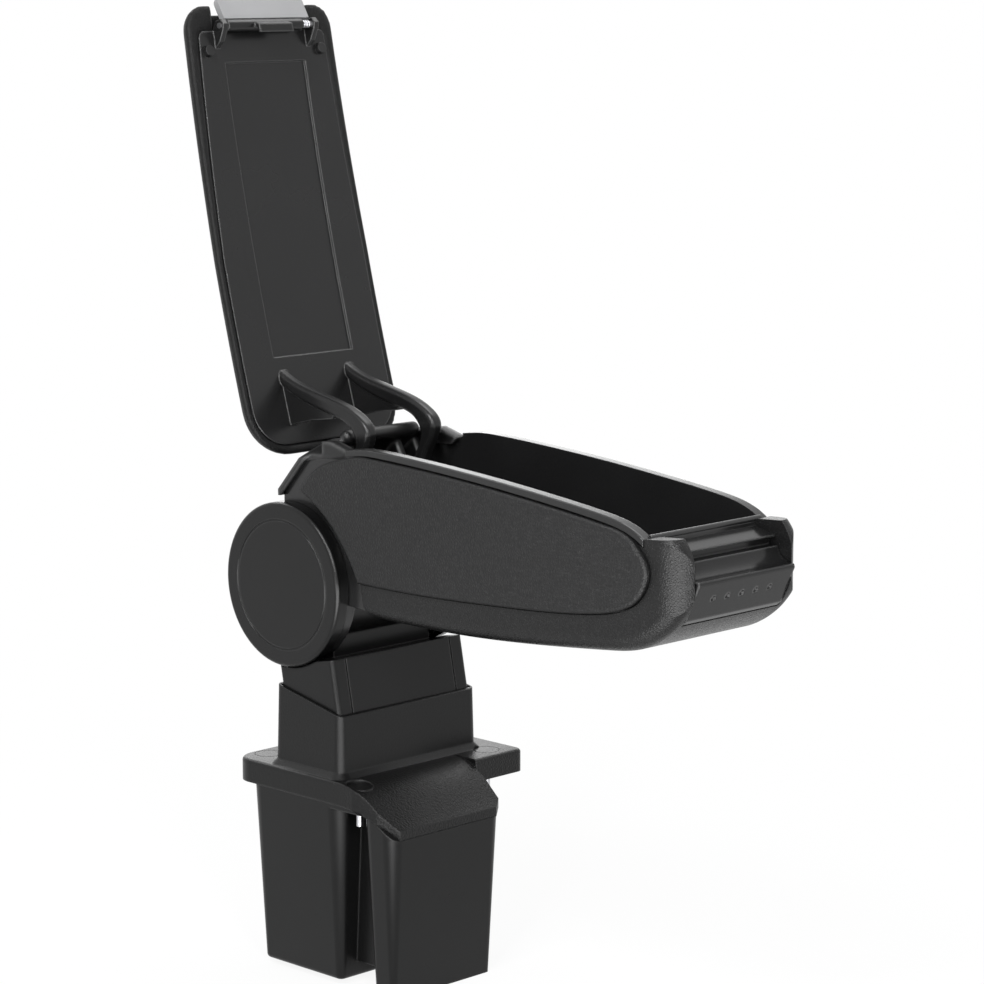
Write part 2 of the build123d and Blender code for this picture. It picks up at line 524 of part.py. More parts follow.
bumper_y = RECESS_HALF + 4.5
bumper = Pos(bumper_x, bumper_y, bumper_top - 1.9) * Cylinder(3, 3.8)
for seat in both_sides(Pos(bumper_x, bumper_y, bumper_top - 5) * Cylinder(3, 10)):
    frame -= seat
parts["lid_bumpers"] = [open_lid(solid) for solid in both_sides(bumper)]

# Gooseneck arms, drawn with the lid open so that they hook over the bar
neck_outer = Spline((-30, 112.4), (-16, 106), (-2, 102.4), (18, 98.2), (33.3, 93), (43, 84), (42, 77),
                    (36.2, 66.5), (33.8, 56), tangents=[(1, -0.6), (-1, -6)])
neck_inner = Spline((24.5, 59.5), (30.2, 70), (32.4, 78.8), (28.6, 84.8), (22, 88.3), (10, 91), (-8, 95.6),
                    (-27.6, 104))
neck_face = side_face(
    neck_outer, Polyline((33.8, 56), (27, 49.5), (19, 48), (14, 53.5), (19, 59), (24.5, 59.5)), neck_inner,
    Line(neck_inner @ 1, neck_outer @ 0))
neck = slab(neck_face, arm_low, arm_high)
side_edges = neck.edges().filter_by(lambda e: abs(e.center().Y - HINGE_Y) > 1)
neck = fillet(side_edges.filter_by(lambda e: e.length > 42), 2.6)
web_face = poly((-28.6, 108), (-14, 101), (4, 95.5), (17, 91.5), (14, 88.4), (-2, 86.2), (-20.6, 81.5))
neck += slab(web_face, HINGE_Y - HINGE_WEB / 2, HINGE_Y + HINGE_WEB / 2)
neck += rod(HINGE_X, HINGE_Z, HINGE_PIN + 4, arm_low, arm_high)
frame = open_lid(frame) + neck + mirrored(neck)
parts["lid_frame"] = frame - rod(HINGE_X, HINGE_Z, HINGE_PIN + RUN, -60, 60)

# Lid pad: soft cushion that wraps the liner's edges, with a falling nose, relieved for the latch
pad_under = rim_arc(PAD_REAR - 1, PAD_FRONT + 1, LID_GAP + 0.2)
pad_over = Spline(*[(x, rim_z(x, LID_GAP + lift)) for x, lift in
                    [(PAD_FRONT + 1, PAD_THICK - 1), (PAD_FRONT - 30, PAD_THICK), (LID_WAIST, PAD_THICK),
                     (PAD_REAR + 25, PAD_THICK), (PAD_REAR - 1, PAD_THICK - 1.5)]])
pad_face = side_face(pad_under, Line(pad_under @ 1, pad_over @ 0), pad_over,
                     Line(pad_over @ 1, pad_under @ 0))
pad = slab(pad_face, -PAD_HALF, PAD_HALF) & lid_plan(PAD_REAR, PAD_FRONT, PAD_HALF, pad_front_half, 26, 14)
crown = pad.edges().filter_by(lambda e: abs((e % 0.5).Z) < 0.7 and e.center().Z > rim_z(e.center().X, 6))
pad = fillet(crown, PAD_ROUND)
pad -= liner
pad -= slab(rim_strip(FRONT_WALL + 12, PAD_FRONT + 10, -5, 7.2), -RECESS_HALF + 0.5, RECESS_HALF - 0.5)
parts["lid_pad"] = open_lid(pad)


def at_latch(solid):
    """Moves a solid drawn round the origin to the closed lid's latch pin, tipped up to its rest angle."""
    return Pos(LATCH_X, 0, LATCH_Z) * Rot(0, -12, 0) * solid


# Latch: lever with a claw, a finger plate on its tongue, the pin and the return spring
tongue = block(0, 12, -24, 24, -0.2, 1.2)
plate = block(LATCH_BARREL + 0.2, 18, -LATCH_HALF, LATCH_HALF, -1.4, 2.4)
plate = fillet(plate.edges().filter_by(Axis.Z).group_by(Axis.X)[-1], 5)
parts["latch_plate"] = open_lid(at_latch(plate - tongue))
claw = poly(*[(LATCH_X + x, LATCH_Z + z) for x, z in
              [(-1.8, -1.7), (1.3, -2.7), (-1.1, -6.4), (-5.9, -6.3), (-5.7, -5), (-3.2, -4.6)]])
spring_low = LATCH_HALF - 7
lever = rod(LATCH_X, LATCH_Z, LATCH_BARREL, -LATCH_HALF, LATCH_HALF) + at_latch(tongue) + slab(claw, -12, 12)
lever -= rod(LATCH_X, LATCH_Z, LATCH_BARREL + FIT, spring_low, LATCH_HALF + 1)
lever -= rod(LATCH_X, LATCH_Z, LATCH_PIN + RUN, -60, 60)
parts["latch_lever"] = open_lid(lever)
latch_end = LATCH_HALF + 0.7 + BRACKET_THICK + 0.5
parts["latch_pin"] = open_lid(rod(LATCH_X, LATCH_Z, LATCH_PIN, -latch_end, latch_end))
coil = Helix(pitch=1.7, height=5.1, radius=LATCH_PIN + WIRE, center=(0, 0, 0), direction=(0, 1, 0))
spring = sweep(Plane(origin=coil @ 0, z_dir=coil % 0) * Circle(WIRE), path=coil)
parts["latch_spring"] = open_lid(Pos(LATCH_X, spring_low + 0.9, LATCH_Z) * spring)

os.makedirs("parts", exist_ok=True)
for name, shape in parts.items():
    pieces = shape if isinstance(shape, list) else [shape]
    solids = [Pos(0, 0, PIVOT_HEIGHT) * solid for piece in pieces for solid in piece.solids()]
    export_step(Compound(solids), f"parts/{name}.step")
    print(name, len(solids), round(sum(solid.volume for solid in solids)))
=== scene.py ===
# %% [markdown]
# # Car centre armrest
# A storage arm with a padded lid, on a post with a flanged insert for the car's console. The shapes,
# sizes and joints come from the CAD model. This lesson adds what the eye needs: the moulded and grained
# plastics, the leather cushion, and a plain studio.

# %% Load the CAD model
import json
import math

import bpy
from mathutils import Matrix, Vector


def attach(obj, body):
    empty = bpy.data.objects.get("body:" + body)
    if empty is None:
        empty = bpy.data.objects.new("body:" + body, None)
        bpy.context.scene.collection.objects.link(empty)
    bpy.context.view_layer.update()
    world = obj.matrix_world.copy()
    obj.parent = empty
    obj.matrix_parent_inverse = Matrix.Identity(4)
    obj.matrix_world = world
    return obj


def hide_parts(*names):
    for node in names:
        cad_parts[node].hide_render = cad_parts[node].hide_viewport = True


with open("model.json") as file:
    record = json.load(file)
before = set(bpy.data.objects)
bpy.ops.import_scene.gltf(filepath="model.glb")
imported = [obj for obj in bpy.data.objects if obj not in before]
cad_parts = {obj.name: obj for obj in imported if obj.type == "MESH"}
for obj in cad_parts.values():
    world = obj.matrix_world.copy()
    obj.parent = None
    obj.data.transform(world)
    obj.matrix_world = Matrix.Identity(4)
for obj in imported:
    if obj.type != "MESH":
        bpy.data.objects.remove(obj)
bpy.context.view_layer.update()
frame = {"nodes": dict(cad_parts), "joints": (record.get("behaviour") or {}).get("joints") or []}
print("CAD nodes:", len(frame["nodes"]))

# %% [markdown]
# ## Sizes that the looks share with the CAD model
# The lid is drawn shut, lying along the box's arched rim, and then swung open about the hinge pins. So
# the arch, the pins and the opening angle are all the cushion needs to land exactly on its liner. The
# pins, the angle and the axle's height are read from the CAD joints, so they can't drift apart.

# %% Shared sizes, in metres
joints = {joint["name"]: joint for joint in frame["joints"]}
PIVOT_HEIGHT = joints["arm_fold"]["pos_m"][2]
HINGE = Vector(joints["lid_close"]["pos_m"])
LID_OPENING = math.radians(joints["lid_close"]["range_deg"][1])
LID_FRONT = 0.287
RIM_TOP = Vector((0.001, 0.0, PIVOT_HEIGHT + 0.0802))
RIM_RADIUS = 1.7


def rim_height(x):
    """Height of the arched rim at a place along the arm."""
    return RIM_TOP.z - (x - RIM_TOP.x) ** 2 / (2 * RIM_RADIUS)


open_lid = Matrix.Translation(HINGE) @ Matrix.Rotation(-LID_OPENING, 4, "Y") @ Matrix.Translation(-HINGE)
lid_tip = open_lid @ Vector((LID_FRONT, 0, rim_height(LID_FRONT)))
print("lid front when open:", [round(v, 3) for v in lid_tip])

# %% [markdown]
# ## Shader sums written as Python
# A material is a graph of nodes. Writing it by hand is long, so a small class wraps a socket and lets
# `+`, `-`, `*` and `/` add the Math nodes. Every other node comes from one method of the material.


# %% A socket that can be added and multiplied
class Wire:
    """An output socket of a material; sums on it add Math nodes."""

    def __init__(self, paint, socket):
        self.paint = paint
        self.socket = socket

    def sum(self, operation, first, second):
        """Adds a Math node; either side may be a number."""
        return self.paint.node("ShaderNodeMath", {"operation": operation}, {0: first, 1: second})

    def __add__(self, other):
        return self.sum("ADD", self, other)

    def __radd__(self, other):
        return self.sum("ADD", other, self)

    def __sub__(self, other):
        return self.sum("SUBTRACT", self, other)

    def __rsub__(self, other):
        return self.sum("SUBTRACT", other, self)

    def __mul__(self, other):
        return self.sum("MULTIPLY", self, other)

    def __rmul__(self, other):
        return self.sum("MULTIPLY", other, self)

    def __truediv__(self, other):
        return self.sum("DIVIDE", self, other)

    def __rtruediv__(self, other):
        return self.sum("DIVIDE", other, self)


print("sums that also take a number first:", [name for name in vars(Wire) if name.startswith("__r")])


# %% A material that nodes are added to
class Paint:
    """A new node material, with the one method that adds nodes to it."""

    def __init__(self, name):
        self.material = bpy.data.materials.new(name)
        self.material.use_nodes = True
        self.tree = self.material.node_tree
        self.tree.nodes.clear()

    @classmethod
    def on_tree(cls, tree):
        """The same helper on a node tree that exists, such as the world's."""
        paint = cls.__new__(cls)
        paint.tree = tree
        tree.nodes.clear()
        return paint

    def node(self, kind, settings, sockets, output=0):
        """Adds one node, sets its settings, then fills its sockets with values or links."""
        made = self.tree.nodes.new(kind)
        for name, value in settings.items():
            setattr(made, name, value)
        for name, value in sockets.items():
            if isinstance(value, Wire):
                self.tree.links.new(value.socket, made.inputs[name])
            else:
                made.inputs[name].default_value = value
        return Wire(self, made.outputs[output])

    def end(self, shader, kind):
        """Links a shader to the tree's output node."""
        output = self.tree.nodes.new(kind)
        self.tree.links.new(shader.socket, output.inputs["Surface"])

    def finish(self, shader):
        """Ends the material with its surface."""
        self.end(shader, "ShaderNodeOutputMaterial")
        return self.material


def dot(paint, first, second):
    """Dot product of two vectors."""
    return paint.node("ShaderNodeVectorMath", {"operation": "DOT_PRODUCT"}, {0: first, 1: second}, "Value")


def mix(paint, factor, first, second):
    """Colour between two colours."""
    return paint.node("ShaderNodeMix", {"data_type": "RGBA"}, {"Factor": factor, 6: first, 7: second}, 2)


def linear(level):
    """Linear light of an 8-bit screen grey, by the sRGB curve."""
    share = level / 255
    return share / 12.92 if share <= 0.04045 else ((share + 0.055) / 1.055) ** 2.4


print("screen grey 55 is linear", round(linear(55), 4))

# %% [markdown]
# ## Moulded plastic
# Nearly everything here is black injection-moulded plastic. Up close it is never flat: the mould leaves a
# fine spark-eroded texture, the tone drifts a little, and edges are rounded by about a millimetre so that
# they catch the light. A Bevel node rounds the edges, and two noises make the texture and the drift.
# Pictures could do that too, but they need unwrapped meshes, and noises in Object coordinates do not.
# Where the rounded normal leaves the true one, a highlight is painted into the colour, paler on the edges
# where a rounded edge would catch the light.

# %% Moulded plastic finish
COOL = (1.0, 1.0, 1.02)     # black plastic is a trace bluer than grey
IVORY = (1.0, 0.99, 0.94)   # unfilled nylon
EDGE_HIGHLIGHT_GREY = 0.08                # linear grey of the highlight painted on a fully turned edge
EDGE_GAIN = 4.0             # how soon a turning normal counts as an edge
DRIFT_SCALE = 28.0          # blotches of the drifting tone, per metre
DRIFT = 0.14                # share by which the tone drifts up and down
HAZE = 0.12                 # range of roughness that follows the drift
COARSER = 6.0               # how much deeper the texture gets where it is coarse
COARSE_BLEND = 0.02         # metres over which it gets there


def grey(level, tint=COOL):
    """Colour of a linear grey with a trace of tint."""
    return (level * tint[0], level * tint[1], level * tint[2], 1)


# Mask of the painted highlight along edges, where the rounded normal turns away from the true one.
def painted_edge_highlight(paint, rounded):
    """How far the rounded normal leaves the true one: 0 on flat faces, up to 1 on an edge."""
    true = paint.node("ShaderNodeNewGeometry", {}, {}, "True Normal")
    turned = EDGE_GAIN - EDGE_GAIN * dot(paint, rounded, true)
    return paint.node("ShaderNodeMath", {"operation": "MINIMUM"}, {0: turned, 1: 1.0})


def coarse_share(paint, place, coarse_from):
    """0 behind a place along the arm, growing to 1 ahead of it."""
    along = paint.node("ShaderNodeSeparateXYZ", {}, {0: place}, "X")
    return paint.node("ShaderNodeClamp", {}, {"Value": (along - coarse_from) / COARSE_BLEND})


def moulded_plastic(name, tone, roughness, grain, depth, edge=0.0006, gloss=0.3, edge_highlight=0.2, tint=COOL,
                    coarse_from=None):
    """Fine-textured plastic of a screen tone.

    The texture has a size (grain) and a depth, and is deeper ahead of coarse_from. The edge is a radius. The
    gloss sets the strength of reflections, and the edge highlight share sets how pale a highlight is painted
    along the edges.
    """
    paint = Paint(name)
    place = paint.node("ShaderNodeTexCoord", {}, {}, "Object")
    fine = paint.node("ShaderNodeTexNoise", {}, {"Vector": place, "Scale": 1 / grain, "Detail": 2.0})
    drift = paint.node("ShaderNodeTexNoise", {}, {"Vector": place, "Scale": DRIFT_SCALE, "Detail": 3.0})
    if coarse_from is not None:
        fine = fine * (1.0 + COARSER * coarse_share(paint, place, coarse_from))
    rounded = paint.node("ShaderNodeBevel", {"samples": 6}, {"Radius": edge})
    level = linear(tone)
    flat = mix(paint, drift, grey((1 - DRIFT) * level, tint), grey((1 + DRIFT) * level, tint))
    # Painted highlight: the colour turns paler along the edges, where a rounded edge would catch the light.
    pale = level + EDGE_HIGHLIGHT_GREY
    colour = mix(paint, edge_highlight * painted_edge_highlight(paint, rounded), flat, (pale, pale, pale, 1))
    bump = paint.node("ShaderNodeBump", {},
                      {"Strength": 0.6, "Distance": depth, "Height": fine, "Normal": rounded})
    shine = roughness - HAZE / 2 + HAZE * drift
    shader = paint.node("ShaderNodeBsdfPrincipled", {},
                        {"Base Color": colour, "Roughness": shine, "Normal": bump,
                         "Specular IOR Level": gloss})
    return paint.finish(shader)


# Where a plastic sets its edge share, that is how much painted highlight its edges get.
base_plastic = moulded_plastic("base_plastic", tone=18, roughness=0.30, grain=0.0007, depth=0.00004,
                               edge=0.0014, gloss=0.23)
shell_plastic = moulded_plastic("shell_plastic", tone=13, roughness=0.25, grain=0.0006, depth=0.00004,
                                edge=0.0012, gloss=0.29)
cover_plastic = moulded_plastic("cover_plastic", tone=20, roughness=0.30, grain=0.0008, depth=0.00003,
                                edge=0.0040, gloss=0.40, edge_highlight=1.0)
bin_plastic = moulded_plastic("bin_plastic", tone=27, roughness=0.22, grain=0.0008, depth=0.00003, gloss=0.45)
liner_plastic = moulded_plastic("liner_plastic", tone=24, roughness=0.26, grain=0.0009, depth=0.00003,
                                edge=0.0012, gloss=0.32, edge_highlight=1.0)
trim_plastic = moulded_plastic("trim_plastic", tone=22, roughness=0.17, grain=0.0010, depth=0.00002,
                               edge=0.0018, gloss=0.28, edge_highlight=1.0)
flange_plastic = moulded_plastic("flange_plastic", tone=16, roughness=0.36, grain=0.0011, depth=0.00012,
                                 edge=0.0016, gloss=0.24, coarse_from=0.05)
latch_plastic = moulded_plastic("latch_plastic", tone=146, roughness=0.36, grain=0.0007, depth=0.00004)
bush_plastic = moulded_plastic("bush_plastic", tone=205, roughness=0.35, grain=0.0010, depth=0.00002,
                               edge_highlight=0.0, tint=IVORY)
bumper_rubber = moulded_plastic("bumper_rubber", tone=24, roughness=0.34, grain=0.0005, depth=0.00004,
                                gloss=0.32, edge_highlight=0.0)
print("plastics made:", len(bpy.data.materials), "materials so far")

# %% [markdown]
# ## Grained plastic and leather
# The side panels and the front cheeks carry a leather-like grain: small pebbles with shallow valleys
# between them. A Voronoi texture gives the distance to the nearest valley. Its coordinates are stirred by
# a noise so that the pebbles are uneven, and a finer noise roughens each pebble. The cushion's leather is
# the same, with wider wrinkles. Scales are given for one pebble's width.

# %% Grained finish
STIR_SCALE = 0.35       # size of the noise that stirs the pebbles
STIR_REACH = 0.9        # how far it moves them
STEEPNESS = 3.0         # how soon a pebble rises from its valley
FINE_SCALE = 3.5        # roughening of each pebble
FINE_HEIGHT = 0.35
FOLD_SCALE = 0.09       # wrinkles across many pebbles
DOME_SHARE = 0.75       # part of the pebbles, and not of the roughening, in tone and shine
VALLEY_TONE = 0.72
DOME_TONE = 1.12
VALLEY_ROUGH = 0.14     # valleys are this much rougher than the finish
DOME_SMOOTH = 0.18      # and pebbles are this much smoother than the valleys
GRAIN_EDGE = 0.0006


def grained(name, tone, roughness, pebble, depth, wrinkle, gloss, sheen=0.0):
    """Pebbled finish of a screen tone: width and depth of a pebble, and strength of the wider wrinkles."""
    paint = Paint(name)
    place = paint.node("ShaderNodeTexCoord", {}, {}, "Object")
    reach = pebble * STIR_REACH
    stir = paint.node("ShaderNodeTexNoise", {},
                      {"Vector": place, "Scale": STIR_SCALE / pebble, "Detail": 2.0}, "Color")
    moved = paint.node("ShaderNodeVectorMath", {"operation": "MULTIPLY_ADD"},
                       {0: stir, 1: (reach, reach, reach), 2: place})
    valley = paint.node("ShaderNodeTexVoronoi", {"feature": "DISTANCE_TO_EDGE"},
                        {"Vector": moved, "Scale": 1 / pebble})
    dome = paint.node("ShaderNodeMath", {"operation": "MINIMUM"}, {0: valley * STEEPNESS, 1: 1.0})
    fine = paint.node("ShaderNodeTexNoise", {},
                      {"Vector": place, "Scale": FINE_SCALE / pebble, "Detail": 3.0})
    fold = paint.node("ShaderNodeTexNoise", {},
                      {"Vector": place, "Scale": FOLD_SCALE / pebble, "Detail": 4.0})
    height = dome + FINE_HEIGHT * fine + wrinkle * fold
    mask = DOME_SHARE * dome + (1 - DOME_SHARE) * fine
    colour = mix(paint, mask, grey(linear(tone) * VALLEY_TONE), grey(linear(tone) * DOME_TONE))
    rounded = paint.node("ShaderNodeBevel", {"samples": 4}, {"Radius": GRAIN_EDGE})
    bump = paint.node("ShaderNodeBump", {},
                      {"Strength": 0.7, "Distance": depth, "Height": height, "Normal": rounded})
    shine = roughness + VALLEY_ROUGH - DOME_SMOOTH * mask
    shader = paint.node("ShaderNodeBsdfPrincipled", {},
                        {"Base Color": colour, "Roughness": shine, "Normal": bump, "Sheen Weight": sheen,
                         "Sheen Roughness": 0.5, "Specular IOR Level": gloss})
    return paint.finish(shader)


panel_plastic = grained("panel_plastic", tone=26, roughness=0.34, pebble=0.0016, depth=0.00026, wrinkle=0.5,
                        gloss=0.27)
cheek_plastic = grained("cheek_plastic", tone=22, roughness=0.25, pebble=0.0013, depth=0.00015, wrinkle=0.4,
                        gloss=0.27)
pad_leather = grained("pad_leather", tone=15, roughness=0.42, pebble=0.0013, depth=0.00018, wrinkle=1.2,
                      gloss=0.18, sheen=0.03)
print("grained finishes made:", panel_plastic.name, cheek_plastic.name, pad_leather.name)

# %% [markdown]
# ## Metal
# The axle, pins, screws and spring are zinc-plated steel. A grey plastic would pass from afar, but a real
# metal mirrors the room as plating does. Plating is a mirror with a soft haze, so only the roughness
# wanders.

# %% Zinc-plated steel
ZINC = (0.55, 0.55, 0.57, 1)
ZINC_ROUGH = 0.22       # roughness of the clearest specks
ZINC_HAZE = 0.22        # and what the haze adds to it
SPECKS = 900.0          # specks of haze, per metre


def plated_steel(name):
    """Grey metal whose roughness wanders in specks of about a millimetre."""
    paint = Paint(name)
    place = paint.node("ShaderNodeTexCoord", {}, {}, "Object")
    haze = paint.node("ShaderNodeTexNoise", {}, {"Vector": place, "Scale": SPECKS, "Detail": 3.0})
    shader = paint.node("ShaderNodeBsdfPrincipled", {},
                        {"Base Color": ZINC, "Metallic": 1.0, "Roughness": ZINC_ROUGH + ZINC_HAZE * haze})
    return paint.finish(shader)


steel = plated_steel("steel")
print("metal made:", steel.name)

# %% [markdown]
# ## Dressing the CAD nodes
# A real moulding leaves its mould with its finish on, so each whole node gets one finish. The nodes keep
# their meshes, and only the material in their slots changes.

# %% Dress every CAD node
finishes = {
    base_plastic: ["insert_tub", "post_housing", "post_front_panel"],
    flange_plastic: ["base_flange", "screw_plugs"],
    shell_plastic: ["pivot_cap_left", "pivot_cap_right"],
    panel_plastic: ["side_panel_left", "side_panel_right"],
    cheek_plastic: ["lower_shell"],
    bin_plastic: ["bin_body"],
    trim_plastic: ["front_catch", "latch_lever"],
    cover_plastic: ["hinge_cover"],
    liner_plastic: ["lid_frame"],
    latch_plastic: ["latch_plate"],
    bush_plastic: ["pivot_bushes", "friction_rings"],
    bumper_rubber: ["lid_bumpers"],
    steel: ["console_screws", "post_screws", "pivot_axle", "axle_nut", "axle_washers", "hinge_pins",
            "shell_screws", "latch_pin", "latch_spring"],
}
for finish, nodes in finishes.items():
    for name in nodes:
        for slot in frame["nodes"][name].material_slots:
            slot.material = finish
print("dressed", sum(len(nodes) for nodes in finishes.values()), "nodes")

# %% [markdown]
# ## Lid cushion
# On the real lid, foam lies on the plastic liner and a leather cover is drawn round the liner's edge. The
# cushion starts as a block with rounded corners. The liner's own block is taken out of its underside, and
# so is some room for the latch. A voxel remesh then gives it even faces, and a short cloth run with a
# little air pressure puffs it. Sculpting could puff it too, but cloth swells the same way each time. Last
# it is narrowed towards the front, laid along the arch and swung open.

# %% Cushion sizes, in metres, with heights above the rim
PAD_REAR = 0.0424
PAD_FRONT = LID_FRONT
PAD_HALF = 0.0551
PAD_FRONT_HALF = 0.0520
PAD_LOW = 0.0003
PAD_HIGH = 0.0114
PAD_REAR_CORNER = 0.026
PAD_FRONT_CORNER = 0.0125
PAD_ROUND = 0.0104
WAIST = 0.150               # the lid narrows ahead of here


def narrowing(x):
    """Share of its full width that the lid keeps at a place along the arm."""
    return 1 - (1 - PAD_FRONT_HALF / PAD_HALF) * max(0.0, (x - WAIST) / (PAD_FRONT - WAIST))


print("width kept at the front:", round(narrowing(PAD_FRONT), 3))

# %% [markdown]
# Operators act on whatever is selected, so one helper adds a primitive with nothing else selected, and
# one selects edges by their place.


# %% Helpers for modelling
def start(add, **options):
    """Adds a primitive with nothing else selected and returns it."""
    bpy.ops.object.select_all(action="DESELECT")
    add(**options)
    return bpy.context.object


def pick(piece, test):
    """Selects, in edit mode, the edges of a piece whose middle and direction pass a test."""
    bpy.ops.object.mode_set(mode="EDIT")
    bpy.ops.mesh.select_mode(type="EDGE")
    bpy.ops.mesh.select_all(action="DESELECT")
    bpy.ops.object.mode_set(mode="OBJECT")
    for edge in piece.data.edges:
        tail, head = (piece.data.vertices[number].co for number in edge.vertices)
        edge.select = bool(test((tail + head) / 2, (head - tail).normalized()))
    bpy.ops.object.mode_set(mode="EDIT")


# %% [markdown]
# One block serves twice: for the cushion, and, smaller, as the tool that cuts the liner's seat. It is cut
# across at the waist, so that only the part ahead of the waist can narrow.

# %% A block with the plan of the lid
CLOSE = 0.001       # two places nearer than this count as one
ALONG = 0.9         # an edge this much along an axis counts as running along it


def lid_block(rear, front, half, front_half, low, high, rear_corner, front_corner):
    """Block that narrows from the waist to the front, with rounded corners in plan."""
    block = start(bpy.ops.mesh.primitive_cube_add, size=1,
                  location=((rear + front) / 2, 0, (low + high) / 2),
                  scale=(front - rear, 2 * half, high - low))
    bpy.ops.object.transform_apply(location=True, rotation=True, scale=True)
    bpy.ops.object.mode_set(mode="EDIT")
    bpy.ops.mesh.select_all(action="SELECT")
    bpy.ops.mesh.bisect(plane_co=(WAIST, 0, 0), plane_no=(1, 0, 0))
    bpy.ops.object.mode_set(mode="OBJECT")
    for vertex in block.data.vertices:
        if vertex.co.x > front - CLOSE:
            vertex.co.y = math.copysign(front_half, vertex.co.y)
    pick(block, lambda middle, way: abs(way.z) > ALONG and middle.x < rear + CLOSE)
    bpy.ops.mesh.bevel(offset=rear_corner, segments=8, affect="EDGES")
    pick(block, lambda middle, way: abs(way.z) > ALONG and middle.x > front - CLOSE)
    bpy.ops.mesh.bevel(offset=front_corner, segments=6, affect="EDGES")
    bpy.ops.object.mode_set(mode="OBJECT")
    return block


def on_top_rim(middle, way):
    """True for the edges round the cushion's top, and not for the one across it at the waist."""
    across_waist = abs(way.y) > ALONG and abs(middle.x - WAIST) < CLOSE
    return middle.z > PAD_HIGH - CLOSE and not across_waist


pad = lid_block(PAD_REAR, PAD_FRONT, PAD_HALF, PAD_HALF, PAD_LOW, PAD_HIGH, PAD_REAR_CORNER, PAD_FRONT_CORNER)
pad.name = "lid_cushion"
pick(pad, on_top_rim)
bpy.ops.mesh.bevel(offset=PAD_ROUND, segments=6, affect="EDGES")
bpy.ops.object.mode_set(mode="OBJECT")
print("cushion block:", len(pad.data.polygons), "faces")

# %% [markdown]
# The liner is a plain CAD solid, so a block of its size cuts its seat, and a box cuts the room for the
# latch. Booleans leave long thin faces that cloth can't bend, and the voxel remesh makes them even.

# %% Seat for the liner and room for the latch
LINER_REAR = 0.0477
LINER_FRONT = 0.2733
LINER_HALF = 0.0512
LINER_FRONT_HALF = 0.0453
LINER_TOP = 0.0038
LINER_REAR_CORNER = 0.020
LINER_FRONT_CORNER = 0.004
SEAT_LOW = -0.010           # well below the cushion, so that the cut is open
LATCH_ROOM = (0.040, 0.071, 0.0165)
LATCH_ROOM_PLACE = (0.288, 0, -0.001)
VOXEL = 0.0016


def apply_modifier(piece, kind, **settings):
    """Adds a modifier, sets it and applies it."""
    modifier = piece.modifiers.new(kind.lower(), kind)
    for name, value in settings.items():
        setattr(modifier, name, value)
    bpy.context.view_layer.objects.active = piece
    bpy.ops.object.modifier_apply(modifier=modifier.name)


seat_half = LINER_FRONT_HALF / narrowing(LINER_FRONT)
seat = lid_block(LINER_REAR, LINER_FRONT, LINER_HALF, seat_half, SEAT_LOW, LINER_TOP,
                 LINER_REAR_CORNER, LINER_FRONT_CORNER)
relief = start(bpy.ops.mesh.primitive_cube_add, size=1, location=LATCH_ROOM_PLACE, scale=LATCH_ROOM)
bpy.ops.object.transform_apply(location=True, rotation=True, scale=True)
for tool in (seat, relief):
    apply_modifier(pad, "BOOLEAN", operation="DIFFERENCE", object=tool, solver="EXACT")
    bpy.data.objects.remove(tool)
apply_modifier(pad, "REMESH", mode="VOXEL", voxel_size=VOXEL)
apply_modifier(pad, "SMOOTH", factor=0.5, iterations=3)
print("cushion after remesh:", len(pad.data.polygons), "faces")

# %% [markdown]
# The cloth run keeps the underside pinned, because the liner holds it. Only the top and the outer edge
# swell.

# %% Puff the cushion
HELD_BELOW = 0.0052     # metres above the rim
PUFF_REACH = 0.0018
PUFF_STEPS = 14


def puff(piece, pinned, reach, steps):
    """Inflates a closed mesh a little as cloth; pinned points stay, and no point moves further than reach."""
    before = [vertex.co.copy() for vertex in piece.data.vertices]
    group = piece.vertex_groups.new(name="held")
    group.add([number for number, place in enumerate(before) if pinned(place)], 1.0, "REPLACE")
    cloth = piece.modifiers.new("cloth", "CLOTH")
    cloth.settings.quality = 4
    cloth.settings.mass = 0.3
    cloth.settings.vertex_group_mass = group.name
    cloth.settings.use_pressure = True
    cloth.settings.uniform_pressure_force = 4.0
    cloth.settings.tension_stiffness = 15
    cloth.settings.bending_stiffness = 2.0
    cloth.settings.effector_weights.gravity = 0
    scene = bpy.context.scene
    for step in range(1, steps + 1):
        scene.frame_set(step)
    bpy.context.view_layer.objects.active = piece
    bpy.ops.object.modifier_apply(modifier="cloth")
    scene.frame_set(1)
    for vertex, place in zip(piece.data.vertices, before):
        move = vertex.co - place
        if move.length > reach:
            vertex.co = place + move * (reach / move.length)


puff(pad, lambda place: place.z < HELD_BELOW, PUFF_REACH, PUFF_STEPS)
apply_modifier(pad, "SMOOTH", factor=0.5, iterations=2)
pad_top = max(vertex.co.z for vertex in pad.data.vertices)
print("cushion rises", round(1000 * pad_top, 2), "mm above the rim")

# %% [markdown]
# Voxels follow the axes, so a tapered or arched block would come out of the remesh with steps. That is
# why the cushion is narrowed and bent only now. It rides on the lid in place of the plain CAD cushion.

# %% Lay the cushion along the arch, open the lid and hand it over
for vertex in pad.data.vertices:
    x, y, z = vertex.co
    vertex.co = open_lid @ Vector((x, y * narrowing(x), z + rim_height(x)))
bpy.ops.object.select_all(action="DESELECT")
pad.select_set(True)
bpy.context.view_layer.objects.active = pad
bpy.ops.object.shade_smooth()
pad.data.materials.clear()
pad.data.materials.append(pad_leather)
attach(pad, "lid")
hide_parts("lid_pad")
print("cushion:", len(pad.data.polygons), "faces")

# %% [markdown]
# ## Studio
# The object is shot on white. Near the object the floor keeps a soft shadow, and further away the camera
# sees it fully white, so that no horizon shows. A bright card lies on the floor in front of the object.
# The camera does not see it, but every rounded upright edge mirrors it as a soft pale line.

